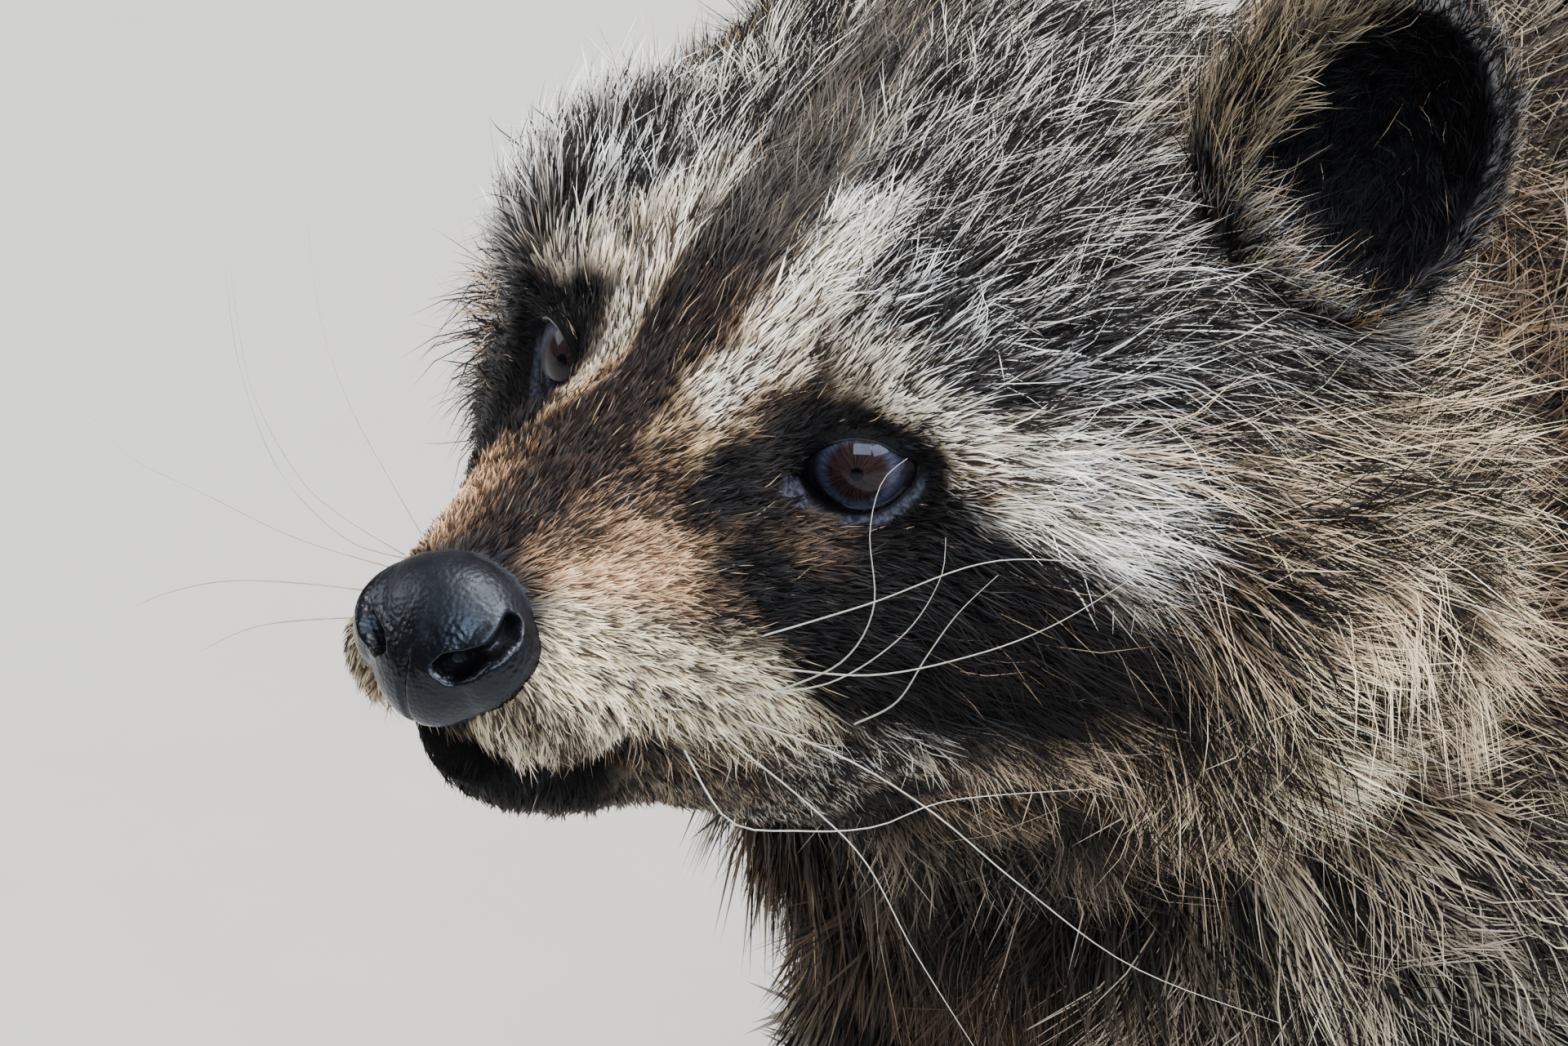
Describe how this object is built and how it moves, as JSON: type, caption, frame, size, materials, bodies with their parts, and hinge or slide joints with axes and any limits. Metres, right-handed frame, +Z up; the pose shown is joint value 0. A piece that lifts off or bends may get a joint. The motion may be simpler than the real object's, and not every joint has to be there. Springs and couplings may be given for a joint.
{
  "type": "raccoon",
  "caption": "Life-size still model of a raccoon standing on all fours, head raised and turned a little to its left, out to the tips of its coat.",
  "frame": {"origin": "on the floor, under the middle of the animal's box", "axes": "-Y the way the animal faces, +Y towards the tip of the tail, +X its left side, +Z up"},
  "size_m": [0.208, 0.8022, 0.3007],
  "materials": {
    "coat_grey": "long grey-brown fur with pale tips",
    "coat_dark": "black-brown fur",
    "coat_pale": "short cream to grey fur",
    "nose_skin": "bare, moist, finely pebbled black skin",
    "eye_surface": "wet, very dark brown",
    "claw_horn": "dark horn, dull sheen"
  },
  "bodies": {
    "root": {"head": "coat_grey", "jaw": "coat_pale", "neck": "coat_grey", "trunk": "coat_grey", "tail": "coat_grey", "nose": "nose_skin", "ear_L": "coat_dark", "eye_L": "eye_surface", "foreleg_L": "coat_dark", "hindleg_L": "coat_dark", "forepaw_L": "coat_pale", "claw_forepaw_L_1": "claw_horn", "claw_forepaw_L_2": "claw_horn", "claw_forepaw_L_3": "claw_horn", "claw_forepaw_L_4": "claw_horn", "claw_forepaw_L_5": "claw_horn", "hindpaw_L": "coat_pale", "claw_hindpaw_L_1": "claw_horn", "claw_hindpaw_L_2": "claw_horn", "claw_hindpaw_L_3": "claw_horn", "claw_hindpaw_L_4": "claw_horn", "claw_hindpaw_L_5": "claw_horn", "ear_R": "coat_dark", "eye_R": "eye_surface", "foreleg_R": "coat_dark", "hindleg_R": "coat_dark", "forepaw_R": "coat_pale", "claw_forepaw_R_1": "claw_horn", "claw_forepaw_R_2": "claw_horn", "claw_forepaw_R_3": "claw_horn", "claw_forepaw_R_4": "claw_horn", "claw_forepaw_R_5": "claw_horn", "hindpaw_R": "coat_pale", "claw_hindpaw_R_1": "claw_horn", "claw_hindpaw_R_2": "claw_horn", "claw_hindpaw_R_3": "claw_horn", "claw_hindpaw_R_4": "claw_horn", "claw_hindpaw_R_5": "claw_horn"}
  },
  "joints": []
}
